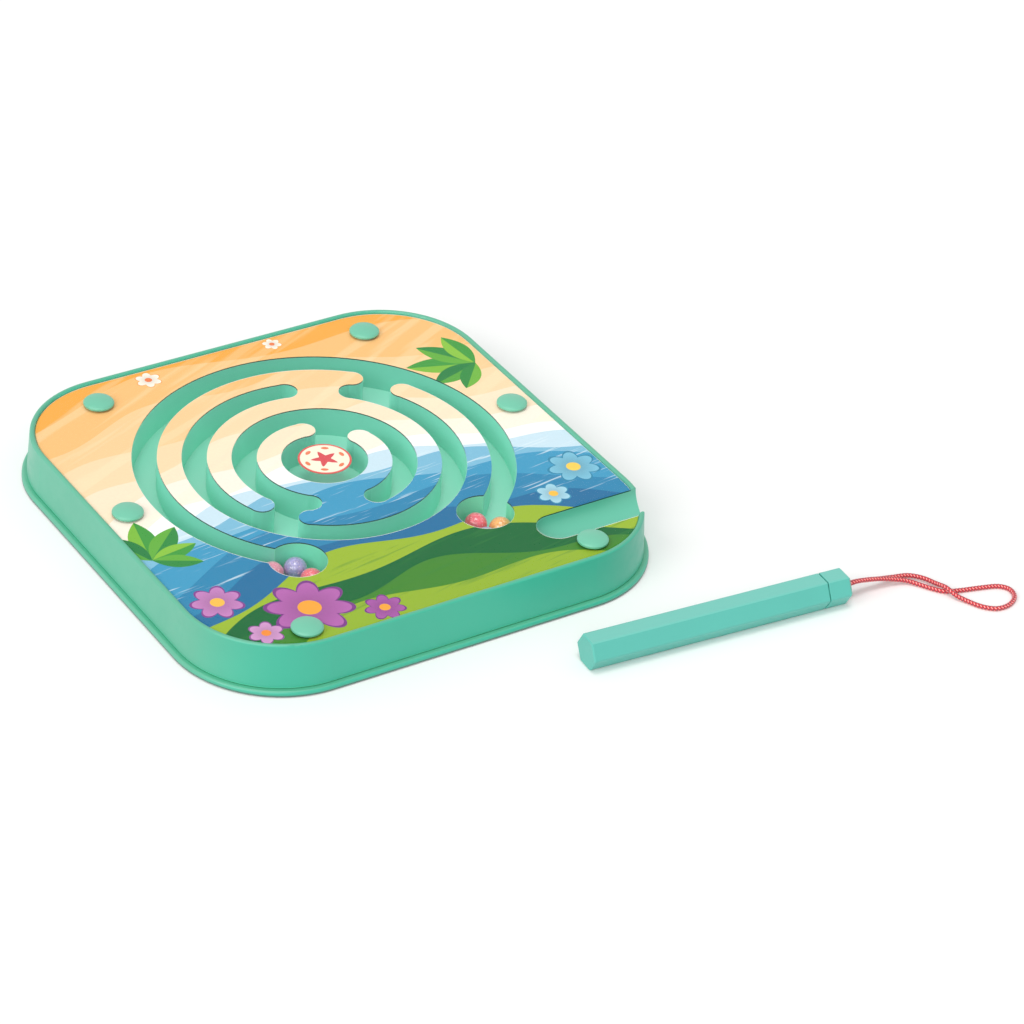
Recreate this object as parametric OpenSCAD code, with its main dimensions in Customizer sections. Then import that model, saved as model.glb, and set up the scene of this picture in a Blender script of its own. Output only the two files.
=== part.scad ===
// Magnetic ball maze: a closed board with trapped balls, and a magnet pen on a cord loop.
// Millimetres, +Z up, +X right, +Y to the back.
// The origin is on the table under the middle of the board.

/* [Board] */
// Width and depth of the board across its rim
board_w = 204.6; // [202:0.2:216]
// Corner radius at the top of the rim
corner_r = 42; // [38:0.5:46]
// Height of the printed face above the table
print_z = 21; // [20:0.5:26]
// Width of the rim round the printed face
rim_w = 2.2; // [1.8:0.1:3]
// Height of the rim above the printed face
rim_h = 1.2; // [1.1:0.1:2]
// Outward slope of the wall between rim and seam
draft = 1.2; // [0.5:0.1:2.4]
// Thickness of the deck
deck_t = 2.2; // [1.6:0.1:3]

/* [Foot] */
// Height of the foot lip, up to the seam
foot_h = 2.7; // [2.6:0.1:4]
// Overhang of the foot lip past the wall
foot_out = 2.1; // [1:0.1:3]
// Rounding of the foot lip's shoulder
foot_round = 1.2; // [0.8:0.1:1.3]
// Thickness of the bottom plate
floor_t = 2; // [1.6:0.1:2.6]

/* [Maze] */
// Width of the ball channels
channel_w = 10; // [9.8:0.1:10.6]
// Depth of the channels below the printed face
channel_d = 13; // [12.6:0.1:13.6]
// Middle radius of the inner ring
ring_r = 32.7; // [32:0.1:33.4]
// Step from one ring to the next
ring_pitch = 20.2; // [19.8:0.1:20.6]
// Radius of the goal pocket in the middle
goal_r = 17.6; // [17:0.1:18]
// Radius of the two start wells
well_r = 11.6; // [11.4:0.1:13]
// Offset of the maze towards the back
maze_y = 8.4; // [7:0.2:9]
// Wall thickness of the channel troughs
trough_t = 1.6; // [1.2:0.1:2]

/* [Cover] */
// Thickness of the printed sheet
sheet_t = 0.4; // [0.2:0.1:0.6]
// Thickness of the clear cover
cover_t = 1; // [0.8:0.1:1.2]
// Diameter of the goal disc
goal_disc_d = 22; // [18:0.2:26]
// Thickness of the goal disc
goal_disc_t = 0.3; // [0.2:0.05:0.5]

/* [Rivets] */
// Diameter of the rivet heads
rivet_d = 12.7; // [10:0.1:13]
// Height of the rivet heads
rivet_h = 2.3; // [1.6:0.1:3]
// Diameter of the rivet shanks
rivet_shank = 4.9; // [4:0.1:5.4]
// Length of a rivet's shank under the deck
rivet_under = 6; // [5:0.5:7]
// Height of the rivet heads' upright edge
rivet_edge = 1.1; // [0.5:0.1:1.3]
// From the back rivets to the back edge of the board
rivet_back = 17.5; // [16:0.1:19]
// From the back rivets to the side edge
rivet_back_in = 38.9; // [36:0.1:42]
// From the front rivets to the front edge
rivet_front = 10.9; // [10.4:0.1:11.4]
// From the front rivets to the side edge
rivet_front_in = 37.1; // [34:0.1:42]

/* [Screws] */
// Diameter of the screw heads
screw_head = 5.6; // [5:0.1:6]
// Diameter of the screw shanks
screw_shank = 2.8; // [2.4:0.1:3]
// Length of the screws in the upper bosses
screw_grip = 7; // [5:0.5:8]
// Diameter of the upper screw bosses
boss_d = 7; // [6.4:0.2:8]
// From the corner screws to the side and back edges
screw_corner = 25; // [22:0.5:27]
// From the other screws to the nearest edge
screw_edge = 10.3; // [9.5:0.1:11]
// From the side screws to the front edge
screw_side = 57.3; // [54:0.1:62]
// From the front screws to the middle of the board
screw_spread = 30; // [0:1:34]

/* [Balls] */
// Diameter of the balls
ball_d = 9.4; // [9:0.1:9.5]

/* [Pen rest] */
// Radius of the half-round pen rest
rest_r = 8.1; // [7.6:0.1:8.4]
// Left tip of the pen rest
rest_x = 50.4; // [49:0.2:56]
// From the middle line of the pen rest to the front edge
rest_y = 26.7; // [26:0.1:28.3]

/* [Pen] */
// Size of the pen across its flats
pen_af = 13; // [12.6:0.1:15]
// Length of the barrel
barrel_l = 107; // [90:1:110]
// Length of the cap without its spigot
cap_l = 11; // [10:0.5:12]
// Diameter of the magnet in the tip
magnet_d = 8; // [7:0.1:8.2]
// Length of the magnet
magnet_l = 12; // [6:1:20]
// Width of the shadow groove between barrel and cap
seam_w = 0.5; // [0.3:0.1:0.8]
// Depth of the shadow groove
seam_in = 0.7; // [0.4:0.1:1]
// Depth by which the pen's long edges are rounded off
pen_edge = 0.2; // [0.1:0.05:0.4]
// Diameter of the cord
cord_d = 1.8; // [1.4:0.1:1.8]

/* [Clearances] */
// By how much the holes for the rivets in the printed sheet are wider than a shank
sheet_hole = 0.6; // [0.4:0.1:0.8]
// By how much the holes for the rivets in the cover are wider than a shank
cover_hole = 0.4; // [0.2:0.1:0.6]
// Sliding gap between parts that fit into each other
slip = 0.15; // [0.1:0.05:0.2]
// Close gap round shanks and magnet, and under the cover
close_gap = 0.05; // [0.03:0.01:0.1]
// Gap between a well's wall and the balls that rest at it
ball_gap = 0.2; // [0.15:0.05:0.3]

/* [Hidden] */
$fn = 96;
lap = 0.5;

// Board levels and the middle of the corner arcs
corner_c = board_w / 2 - corner_r;
rim_top = print_z + rim_h;
cover_z = print_z + close_gap;
cover_top = cover_z + cover_t;
deck_z = print_z - sheet_t;
deck_low = deck_z - deck_t;
floor_z = print_z - channel_d;
// Radii about a corner's middle
wall_top_r = corner_r;
wall_low_r = corner_r + draft;
rim_in_r = corner_r - rim_w;
wall_t = rim_w;
spigot_r = wall_low_r - wall_t - slip - draft * 0.3;
spigot_t = 1.6;
spigot_top = foot_h + 3.6;
sheet_r = rim_in_r - slip;

// Maze radii and the angles of its ends, counted from +X
half_w = channel_w / 2;
// Round ends stand this much proud of the sides that they close
bulge = 0.15;
rib_half = (ring_pitch - channel_w) / 2;
ring = [ring_r, ring_r + ring_pitch, ring_r + 2 * ring_pitch];
goal_rib = (ring[0] - half_w - goal_r) / 2;
well_a_deg = 231.9;
well_b_deg = -58.4;
ring_1_ends = [-88.8, 237.8];
ring_2_ends = [72.9, 413.5];
gap_1 = [33.3, 70.4];
gap_2 = [211, 226.3];
gap_3 = [33.6, 45.4];

// Side rivets sit two thirds of the way out between the outer channel's wall and the rim
edge = board_w / 2;
rivet_in_most = ring[2] + half_w + trough_t + (rivet_shank + sheet_hole) / 2;
rivet_out_most = edge - rim_w - rivet_d / 2 - slip;
rivet_side_x = rivet_in_most + (rivet_out_most - rivet_in_most) * 2 / 3;
rivet_at = [for (p = [[edge - rivet_back_in, edge - rivet_back], [rivet_side_x, maze_y],
  [edge - rivet_front_in, rivet_front - edge]]) for (x = [-1, 1]) [x * p[0], p[1]]];
screw_at = [for (p = [[edge - screw_corner, edge - screw_corner], [edge - screw_edge, screw_side - edge],
  [screw_spread, screw_edge - edge]]) for (x = [-1, 1]) [x * p[0], p[1]]];
rest_line = rest_y - edge;
sink_z = 3.6;
boss_split = sink_z + 3.4;
screw_tip = boss_split + screw_grip;
rivet_tip = deck_low - rivet_under;

// Balls in their wells: angle round the well and distance from its middle
ball_run_deg = well_a_deg - turn_deg(ball_d + 4 * ball_gap, ring[2]);
at_wall = well_r - ball_d / 2 - ball_gap;
a_red_at = [-45, at_wall * 0.87];
a_lilac_at = [69, at_wall * 0.87];
b_orange_at = [-22, at_wall];
b_red_at = [105, at_wall * 0.7];
b_lilac_at = [246, at_wall];

// Pen: its local X runs from the tip to the cord end
pen_l = barrel_l + cap_l;
pen_pos = [34.1, -136.2, pen_af / 2];
pen_turn = -4.55;
tip_t = 1.6;
bore_d = magnet_d + 2 * close_gap;
spigot_l = 8;
cap_end_t = 3;
cord_gap = cord_d + 0.4;
cord_hole_d = cord_d * 2 + 0.7;
// Strands leave the cap one over the other, at this tilt
cord_tilt = -38;
strand = polar(cord_gap / 2, cord_tilt);
knot_d = 5.8;
knot_l = 4;

// Cord route between the two strands at the cap, lying on the table
cord_free = [[158, -144.6, 5.7], [164.5, -144.6, 4.4], [171, -144.8, 3.1], [177, -145.1, 2.1],
  [183.5, -146.5, 1.7], [188, -150.5, 1.5], [190.3, -156.5, 1.8], [191, -162, 3],
  [192.5, -167, 1.8], [195, -171.5, 1], [198, -177, 0.9], [202.5, -180.8, 0.9],
  [208.5, -181, 0.9], [214, -177.7, 0.9], [215.6, -172.6, 0.9], [212.5, -168.5, 0.9],
  [205, -166, 0.9], [197.5, -164, 0.9], [191, -161.6, 0.9], [187.2, -157.2, 0.9],
  [184.3, -152.8, 1], [181, -149.3, 1.6], [176, -147.4, 2.7], [170.5, -146.6, 4.2],
  [164, -146.1, 5.7], [157.5, -146.2, 6.9]];
cord_steps = 2;
cord_sides = 8;

function turn_deg(arc, r) = arc / r * 180 / PI;
function polar(r, deg) = [r * cos(deg), r * sin(deg)];
function well_mid(deg) = polar(ring[2], deg) + [0, maze_y];
function in_well(deg, at) = well_mid(deg) + polar(at[1], at[0]);
function pen_at(p) = pen_pos + [p[0] * cos(pen_turn) - p[1] * sin(pen_turn),
  p[0] * sin(pen_turn) + p[1] * cos(pen_turn), p[2]];

// Cord sweep
cord_path = concat(
  [pen_at([pen_l - cap_end_t, strand[0], strand[1]]), pen_at([pen_l + 1, strand[0], strand[1]])],
  cord_free,
  [pen_at([pen_l + 1, -strand[0], -strand[1]]), pen_at([pen_l - cap_end_t, -strand[0], -strand[1]])]);
function held(i) = min(max(i, 0), len(cord_path) - 1);
function curve(a, b, c, d, t) = (b * 2 + (c - a) * t + (a * 2 - b * 5 + c * 4 - d) * t * t
  + (b * 3 - a - c * 3 + d) * t * t * t) / 2;
function lifted(p) = [p[0], p[1], max(p[2], cord_d / 2)];
cord_mid = [for (i = [0 : len(cord_path) - 2]) for (s = [0 : cord_steps - 1])
    lifted(curve(cord_path[held(i - 1)], cord_path[i], cord_path[i + 1], cord_path[held(i + 2)],
      s / cord_steps)),
  cord_path[len(cord_path) - 1]];
function unit(v) = v / norm(v);
pen_way = [cos(pen_turn), sin(pen_turn), 0];
function heading(i) = i == 0 ? pen_way : i == len(cord_mid) - 1 ? -pen_way
  : unit(cord_mid[i + 1] - cord_mid[i - 1]);
function side(i) = unit(cross(heading(i), [0, 0, 1]));
function ring_points(i) = [for (k = [0 : cord_sides - 1]) cord_mid[i] + cord_d / 2
  * (side(i) * cos(k * 360 / cord_sides) + cross(side(i), heading(i)) * sin(k * 360 / cord_sides))];
cord_points = [for (i = [0 : len(cord_mid) - 1]) each ring_points(i)];
cord_faces = concat(
  [[for (k = [0 : cord_sides - 1]) k]],
  [for (i = [0 : len(cord_mid) - 2]) for (k = [0 : cord_sides - 1])
    [i * cord_sides + k, (i + 1) * cord_sides + k,
      (i + 1) * cord_sides + (k + 1) % cord_sides, i * cord_sides + (k + 1) % cord_sides]],
  [[for (k = [cord_sides - 1 : -1 : 0]) (len(cord_mid) - 1) * cord_sides + k]]);

// Flat shapes

module rounded_square(r) {
  square([2 * (corner_c + r), 2 * corner_c], center = true);
  square([2 * corner_c, 2 * (corner_c + r)], center = true);
  for (x = [-1, 1], y = [-1, 1]) translate([x, y] * corner_c) circle(r);
}

module wedge(r, from, to) {
  steps = ceil((to - from) / 30);
  polygon(concat([[0, 0]], [for (i = [0 : steps]) polar(r, from + (to - from) * i / steps)]));
}

module ring_part(r_in, r_out, from, to) {
  intersection() {
    difference() {
      circle(r_out);
      circle(r_in);
    }
    wedge(r_out * 1.3, from, to);
  }
}

// A channel along a ring, with round ends whose tips are at the two angles
module round_channel(r, ends, grow) {
  from = ends[0] + turn_deg(half_w, r);
  to = ends[1] - turn_deg(half_w, r);
  ring_part(r - half_w - grow, r + half_w + grow, from, to);
  for (deg = [from, to]) translate(polar(r, deg)) circle(half_w + grow + bulge);
}

// The way through a rib, before its round tips are put back
module rib_way(r_in, r_out, r, half, tips) {
  ring_part(r_in, r_out, tips[0] - turn_deg(half, r), tips[1] + turn_deg(half, r));
}

module rib_tips(r, half, tips, grow) {
  for (deg = [tips[0] - turn_deg(half, r), tips[1] + turn_deg(half, r)])
    translate(polar(r, deg)) circle(half - grow + bulge);
}

// All that balls can reach, widened by grow
module maze_2d(grow) {
  difference() {
    union() {
      ring_part(ring[2] - half_w - grow, ring[2] + half_w + grow, well_b_deg, well_a_deg);
      for (deg = [well_a_deg, well_b_deg]) translate(polar(ring[2], deg)) circle(well_r + grow);
      round_channel(ring[1], ring_2_ends, grow);
      round_channel(ring[0], ring_1_ends, grow);
      circle(goal_r + grow);
      rib_way(ring[1], ring[2], ring[1] + ring_pitch / 2, rib_half, gap_3);
      rib_way(ring[0], ring[1], ring[0] + ring_pitch / 2, rib_half, gap_2);
      rib_way(goal_r - 4, ring[0], goal_r + goal_rib, goal_rib, gap_1);
    }
    rib_tips(ring[1] + ring_pitch / 2, rib_half, gap_3, grow);
    rib_tips(ring[0] + ring_pitch / 2, rib_half, gap_2, grow);
    rib_tips(goal_r + goal_rib, goal_rib, gap_1, grow);
  }
}

module rest_2d(grow) {
  translate([rest_x + rest_r, rest_line]) circle(rest_r + grow);
  translate([rest_x + rest_r, rest_line - rest_r - grow]) square([board_w, 2 * (rest_r + grow)]);
}

module sheet_2d(hole_d) {
  difference() {
    rounded_square(sheet_r);
    for (p = rivet_at) translate(p) circle(d = hole_d);
    rest_2d(2 * slip);
  }
}

// Sweeps a profile of radius and height round the board's outline
module round_board() {
  for (k = [0 : 3]) rotate(90 * k) {
    translate([corner_c, corner_c, 0]) rotate_extrude(angle = 90) children();
    translate([corner_c, 0, 0]) rotate([90, 0, 0]) linear_extrude(2 * corner_c, center = true) children();
  }
}

module wall_profile() {
  polygon([[wall_low_r - wall_t, foot_h], [wall_low_r - 0.5, foot_h], [wall_low_r, foot_h + 0.6],
    [wall_top_r, rim_top - rim_w / 2], [rim_in_r, rim_top - rim_w / 2], [rim_in_r, deck_low]]);
  translate([rim_in_r + rim_w / 2, rim_top - rim_w / 2]) circle(d = rim_w);
}

module foot_profile() {
  out = wall_low_r + foot_out;
  polygon([[spigot_r - spigot_t, 0], [out - 0.6, 0], [out, 0.6], [out, foot_h - foot_round],
    [out - foot_round, foot_h - foot_round], [out - foot_round, foot_h], [spigot_r, foot_h],
    [spigot_r, spigot_top], [spigot_r - spigot_t, spigot_top]]);
  translate([out - foot_round, foot_h - foot_round]) circle(foot_round);
}

// Board

module rest_shape(r) {
  translate([rest_x + rest_r, rest_line, print_z]) {
    sphere(r);
    rotate([0, 90, 0]) cylinder(r = r, h = board_w);
  }
}

// The pen rest's own trough, kept under the deck and inside the wall
module rest_trough() {
  intersection() {
    rest_shape(rest_r + 1.8);
    translate([0, 0, foot_h]) linear_extrude(deck_low + lap - foot_h) rounded_square(wall_top_r - 0.6);
  }
}

module upper_shell() {
  color("#5fc3a4") difference() {
    union() {
      round_board() wall_profile();
      translate([0, 0, deck_low]) linear_extrude(deck_t) rounded_square(rim_in_r + lap);
      translate([0, maze_y, floor_z - trough_t])
        linear_extrude(deck_low + lap - floor_z + trough_t) maze_2d(trough_t);
      rest_trough();
      for (p = rivet_at) translate([p[0], p[1], rivet_tip - 1])
        cylinder(d = rivet_shank + 4, h = deck_low + lap - rivet_tip + 1);
      for (p = screw_at) translate([p[0], p[1], boss_split])
        cylinder(d = boss_d, h = deck_low + lap - boss_split);
    }
    translate([0, maze_y, floor_z]) linear_extrude(channel_d) maze_2d(0);
    rest_shape(rest_r);
    for (p = rivet_at) translate([p[0], p[1], 0]) cylinder(d = rivet_shank + 2 * close_gap, h = print_z);
    for (p = screw_at) translate([p[0], p[1], 0])
      cylinder(d = screw_shank + 2 * close_gap, h = screw_tip + 1);
  }
}

module base_shell() {
  color("#4fbb9b") difference() {
    union() {
      round_board() foot_profile();
      linear_extrude(floor_t) rounded_square(spigot_r - spigot_t + lap);
      for (p = screw_at) translate([p[0], p[1], 0]) cylinder(d = boss_d + 2, h = boss_split);
    }
    for (p = screw_at) translate([p[0], p[1], -lap]) {
      cylinder(d = screw_shank + 0.4, h = print_z);
      cylinder(d = screw_head + 0.6, h = sink_z + lap);
    }
  }
}

module print_sheet() {
  color("#f6c98a") translate([0, 0, deck_z]) linear_extrude(sheet_t) difference() {
    sheet_2d(rivet_shank + sheet_hole);
    translate([0, maze_y]) maze_2d(slip);
  }
}

module clear_cover() {
  color("#e8f4f2", 0.35) translate([0, 0, cover_z]) linear_extrude(cover_t)
    sheet_2d(rivet_shank + cover_hole);
}

// The goal's picture hangs under the cover, over the goal pocket
module goal_disc() {
  color("#f3e3c0") translate([0, maze_y, cover_z - goal_disc_t]) cylinder(d = goal_disc_d, h = goal_disc_t);
}

// Fixings

module rivet(i) {
  p = rivet_at[i - 1];
  dome = rivet_h - rivet_edge;
  bevel_d = rivet_d + 2 * rivet_edge - 0.8;
  dome_r = (rivet_d * rivet_d / 4 + dome * dome) / (2 * dome);
  color("#5fc3a4") translate([p[0], p[1], 0]) {
    intersection() {
      translate([0, 0, cover_top]) cylinder(d = rivet_d, h = rivet_h + 1);
      translate([0, 0, cover_top + rivet_h - dome_r]) sphere(dome_r);
      translate([0, 0, cover_top]) cylinder(d1 = bevel_d, d2 = bevel_d - 2 * rivet_h, h = rivet_h);
    }
    translate([0, 0, rivet_tip + 1]) cylinder(d = rivet_shank, h = cover_top + lap - rivet_tip - 1);
    translate([0, 0, rivet_tip]) cylinder(d1 = rivet_shank - 1.6, d2 = rivet_shank, h = 1);
  }
}

module screw(i) {
  p = screw_at[i - 1];
  head_h = 2.1;
  color("#b9bec2") translate([p[0], p[1], 0]) difference() {
    union() {
      translate([0, 0, sink_z - head_h]) cylinder(d1 = screw_head - 1.4, d2 = screw_head, h = 0.7);
      translate([0, 0, sink_z - head_h + 0.7]) cylinder(d = screw_head, h = head_h - 0.7);
      translate([0, 0, sink_z - lap]) cylinder(d = screw_shank, h = screw_tip - sink_z - 1 + lap);
      translate([0, 0, screw_tip - 1]) cylinder(d1 = screw_shank, d2 = 0.8, h = 1);
    }
    for (a = [0, 90]) rotate(a) translate([-1.5, -0.35, 0]) cube([3, 0.7, sink_z - head_h + 1.2]);
  }
}

// Balls

module ball(at, tint) {
  color(tint) translate([at[0], at[1], floor_z + ball_d / 2]) sphere(d = ball_d);
}

// Pen

module pen_place() {
  translate(pen_pos) rotate([0, 0, pen_turn]) children();
}

// A six-sided bar along X, flat side down, with its two ends bevelled
module hex_bar(from, to, bevel_from, bevel_to) {
  h = pen_af / 2;
  intersection() {
    intersection_for (k = [0 : 2]) rotate([60 * k, 0, 0]) rotate([90, 0, 0])
      linear_extrude(pen_af * 2, center = true)
        polygon([[from, bevel_from - h], [from + bevel_from, -h], [to - bevel_to, -h], [to, bevel_to - h],
          [to, h - bevel_to], [to - bevel_to, h], [from + bevel_from, h], [from, h - bevel_from]]);
    along_x(from, pen_af / cos(30) - 2 * pen_edge, to - from);
  }
}

module along_x(from, d, l) {
  translate([from, 0, 0]) rotate([0, 90, 0]) cylinder(d = d, h = l);
}

module pen_barrel() {
  color("#65c2b6") pen_place() difference() {
    hex_bar(0, barrel_l, 0.5, 0.2);
    along_x(tip_t, bore_d, barrel_l);
  }
}

module pen_cap() {
  color("#65c2b6") pen_place() difference() {
    union() {
      hex_bar(barrel_l + seam_w, pen_l, 0.2, 1.2);
      along_x(barrel_l, pen_af - 2 * seam_in, seam_w + 1);
      along_x(barrel_l - spigot_l, bore_d - 2 * close_gap, spigot_l + 1);
    }
    along_x(barrel_l - spigot_l - 1, knot_d + 0.4, spigot_l + 1 + cap_l - cap_end_t);
    along_x(barrel_l, cord_hole_d, cap_l + 1);
  }
}

module pen_magnet() {
  color("#4a4d50") pen_place() along_x(tip_t, magnet_d, magnet_l);
}

module cord_knot() {
  color("#e8514f") pen_place() translate([pen_l - cap_end_t - knot_l, 0, 0]) rotate([0, 90, 0]) {
    cylinder(d1 = knot_d - 2, d2 = knot_d, h = 1);
    translate([0, 0, 1]) cylinder(d = knot_d, h = knot_l - 1);
  }
}

module cord() {
  color("#e8514f") polyhedron(points = cord_points, faces = cord_faces);
}

// What is drawn
upper_shell();
base_shell();
print_sheet();
clear_cover();
goal_disc();
rivet(1);  // rivet_1
rivet(2);  // rivet_2
rivet(3);  // rivet_3
rivet(4);  // rivet_4
rivet(5);  // rivet_5
rivet(6);  // rivet_6
screw(1);  // screw_1
screw(2);  // screw_2
screw(3);  // screw_3
screw(4);  // screw_4
screw(5);  // screw_5
screw(6);  // screw_6
ball(polar(ring[2], ball_run_deg) + [0, maze_y], "#f59aa6");  // ball_run
ball(in_well(well_a_deg, a_red_at), "#f0696a");  // ball_a_red
ball(in_well(well_a_deg, a_lilac_at), "#b79ae0");  // ball_a_lilac
ball(in_well(well_b_deg, b_orange_at), "#f3a24e");  // ball_b_orange
ball(in_well(well_b_deg, b_red_at), "#f0696a");  // ball_b_red
ball(in_well(well_b_deg, b_lilac_at), "#b79ae0");  // ball_b_lilac
pen_barrel();
pen_cap();
pen_magnet();
cord();
cord_knot();
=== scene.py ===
"""Finishes a magnetic ball maze: its board, print, cover, balls, magnet pen and cord."""
import math

import bmesh
import bpy
from bpy.props import FloatProperty, FloatVectorProperty, IntProperty, PointerProperty
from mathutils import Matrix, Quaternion, Vector


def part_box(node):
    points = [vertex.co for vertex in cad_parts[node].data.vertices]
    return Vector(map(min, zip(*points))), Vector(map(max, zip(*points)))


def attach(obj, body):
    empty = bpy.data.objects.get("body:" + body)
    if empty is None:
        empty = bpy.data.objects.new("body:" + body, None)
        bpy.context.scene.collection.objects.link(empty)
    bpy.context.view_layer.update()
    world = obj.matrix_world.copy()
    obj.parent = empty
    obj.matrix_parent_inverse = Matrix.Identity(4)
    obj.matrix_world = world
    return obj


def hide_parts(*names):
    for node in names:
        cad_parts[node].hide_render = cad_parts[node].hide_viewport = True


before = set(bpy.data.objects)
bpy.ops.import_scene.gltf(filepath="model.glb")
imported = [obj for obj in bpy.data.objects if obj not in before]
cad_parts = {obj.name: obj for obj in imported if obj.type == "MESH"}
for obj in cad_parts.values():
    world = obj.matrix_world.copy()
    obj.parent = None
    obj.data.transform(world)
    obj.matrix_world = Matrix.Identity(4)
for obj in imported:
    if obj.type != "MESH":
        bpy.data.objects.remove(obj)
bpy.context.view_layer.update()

bl_info = {
    "name": "Magnetic ball maze",
    "version": (1, 0, 0),
    "blender": (4, 5, 0),
    "location": "3D View > Sidebar > Ball maze",
    "description": "Finishes the maze board, its balls and its magnet pen",
    "category": "Object",
}

RIVETS = [f"rivet_{i}" for i in range(1, 7)]
SCREWS = [f"screw_{i}" for i in range(1, 7)]
WHITE = (1.0, 1.0, 1.0, 1.0)
# Millimetres in a metre
MM = 1000.0

# Camera: where it stands and what it looks at in metres, its lens in millimetres, its roll
CAMERA_AT = (-0.7037, -1.1473, 0.9118)
CAMERA_TARGET = (0.0478, -0.0588, 0.0210)
CAMERA_LENS = 140.02
CAMERA_ROLL = math.radians(4.402)

# A soft box overhead, a key from the left and a weak fill from the front, all broad and soft,
# and a small weak lamp that gives the balls a glint: power, spread in degrees, way of the light
LAMPS = [
    ("top", 0.9, 25, (0.1, 0.08, -1)), ("key", 1.0, 35, (0.75, 0.2, -0.5)),
    ("fill", 0.5, 25, (0.47, 0.68, -0.56)), ("glint", 0.06, 4, (0.5, 0.5, -0.8)),
]
# Light of the white studio on dull surfaces, a share of what the eye and gloss see of it
STUDIO_SHARE = 0.55
# Half the floor's width, and how far it lies under the part so that they share no face (metres)
FLOOR_HALF = 6.0
FLOOR_GAP = 0.00005

# Places on the board that have painted light and shade of their own, in millimetres.
# The maze: its middle, and how far its channels reach from there
MAZE_MIDDLE = (0.0, 8.4)
MAZE_REACH = 86.0
# The two wells: their middles, and how far their walls reach
WELLS = [(-45.1, -49.1), (38.3, -53.9)]
WELL_REACH = 11.7
# The pen rest: where it starts, its middle line, just under its lowest point, its half width
REST = (50.2, -75.6, 12.5, 8.3)
# The foot's lip: heights between which the painted shade under it fades out, the groove above it,
# which takes painted light, and half the groove's own height
LIP_UNDER = (0.8, 1.4)
LIP_GROOVE, LIP_GROOVE_HALF = 3.1, 0.35
# Factors on the red in the colour of the shells' left and front sides: painted sheen on the
# left, painted shade on the front
LEFT_SHEEN_RED, FRONT_SHADE_RED = 1.7, 0.55
# The way that the walls towards the camera face: painted shade on them in the channels, and the
# side of the print's painted shadow line
FRONT = (-0.57, -0.82, 0.0)
# How far a face has to lean a way to begin to take that way's painted tone, and to take all of it
FLAT_LEAN, SIDE_LEAN, FRONT_LEAN = (0.55, 0.95), (-0.2, -0.9), (0.35, 0.95)

# The pen on the table: its tip in metres, and its turn
PEN_TIP = Vector((0.0341, -0.1362, 0.0065))
PEN_TURN = math.radians(-4.55)
# Along the pen from its tip, in metres: the cord's ends, a point just outside the cap, the knot
CORD_END, CORD_OUT, KNOT_AT = 0.115, 0.119, 0.113
# A third of the knot's radius and half its length in metres, and the angles of its points, open
# where its ends come out
KNOT_THIRD, KNOT_HALF = 0.00068, 0.0011
KNOT_TURNS = [i / 60 * 2 * math.pi for i in range(8, 54)]
# Points on the smooth route for each given one
CORD_STEPS, KNOT_STEPS = 8, 4
# How far the cord's two runs lie to the side of the pen's axis and above it, in metres
STRAND = (0.0011 * math.cos(math.radians(-38)), 0.0011 * math.sin(math.radians(-38)))
# The cord's loop outside the cap, in metres
CORD_LOOP = [
    (0.158, -0.1446, 0.0057), (0.1645, -0.1446, 0.0044), (0.171, -0.1448, 0.0031),
    (0.177, -0.1451, 0.0021), (0.1835, -0.1465, 0.0017), (0.188, -0.1505, 0.0015),
    (0.1903, -0.1565, 0.0018), (0.191, -0.162, 0.003), (0.1925, -0.167, 0.0018),
    (0.195, -0.1715, 0.001), (0.198, -0.177, 0.0009), (0.2025, -0.1808, 0.0009),
    (0.2085, -0.181, 0.0009), (0.214, -0.1777, 0.0009), (0.2156, -0.1726, 0.0009),
    (0.2125, -0.1685, 0.0009), (0.205, -0.166, 0.0009), (0.1975, -0.164, 0.0009),
    (0.191, -0.1616, 0.0009), (0.1872, -0.1572, 0.0009), (0.1843, -0.1528, 0.001),
    (0.181, -0.1493, 0.0016), (0.176, -0.1474, 0.0027), (0.1705, -0.1466, 0.0042),
    (0.164, -0.1461, 0.0057), (0.1575, -0.1462, 0.0069),
]
# The braid's mesh: its step along the cord in metres and its sides round it; then its radius in
# the gaps as a share of the cord's, what a strand adds to that, and the share of it that is left
# where the strand goes under another
BRAID_STEP, BRAID_SIDES = 0.0002, 28
BRAID_LOW, BRAID_RISE, BRAID_UNDER = 0.98, 0.15, 0.55

# The print's height in millimetres, the width of the painted shadow line and painted highlight
# along its cuts in metres, and how far a cut has to lean to the front or away to have one
PRINT_Z = 21.0
CUT_EDGE, CUT_LEAN = 0.0005, 0.2
# Bands of the print from the back of the board to the front: where each starts on the arcs, the
# height of its waves and their length per radian in millimetres, their phase, and its ink
BANDS = [
    (116, 5.0, 19.0, 0.4, "#F9C17A"), (96, 4.0, 13.0, 2.1, "#FBCF97"),
    (76, 5.5, 17.0, 4.0, "#FCDBAF"), (60, 3.5, 11.0, 1.0, "#FDE7C8"),
    (45, 4.0, 15.0, 3.2, "#FFF3E2"), (31, 2.5, 9.0, 0.2, "#FBFDFA"),
    (24, 3.0, 12.0, 2.6, "#CDE6F1"), (17, 3.0, 12.5, 0.6, "#7FBDD8"),
    (8, 3.5, 14.0, 5.1, "#3F9BC2"), (-5, 4.0, 16.0, 1.7, "#2C86B0"),
    (-19, 3.0, 10.5, 3.9, "#1F6E9C"), (-30, 4.0, 13.5, 0.9, "#9AB82E"),
    (-41, 5.0, 18.0, 2.9, "#00652F"), (-54, 4.0, 12.0, 4.4, "#3F8426"),
    (-64, 4.5, 15.5, 1.3, "#93B32C"), (-86, 3.5, 14.5, 3.6, "#86AB2A"),
]
ARC_MIDDLE = (-6.0, -260.0, PRINT_Z)
ARC_START = 238.0
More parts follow.
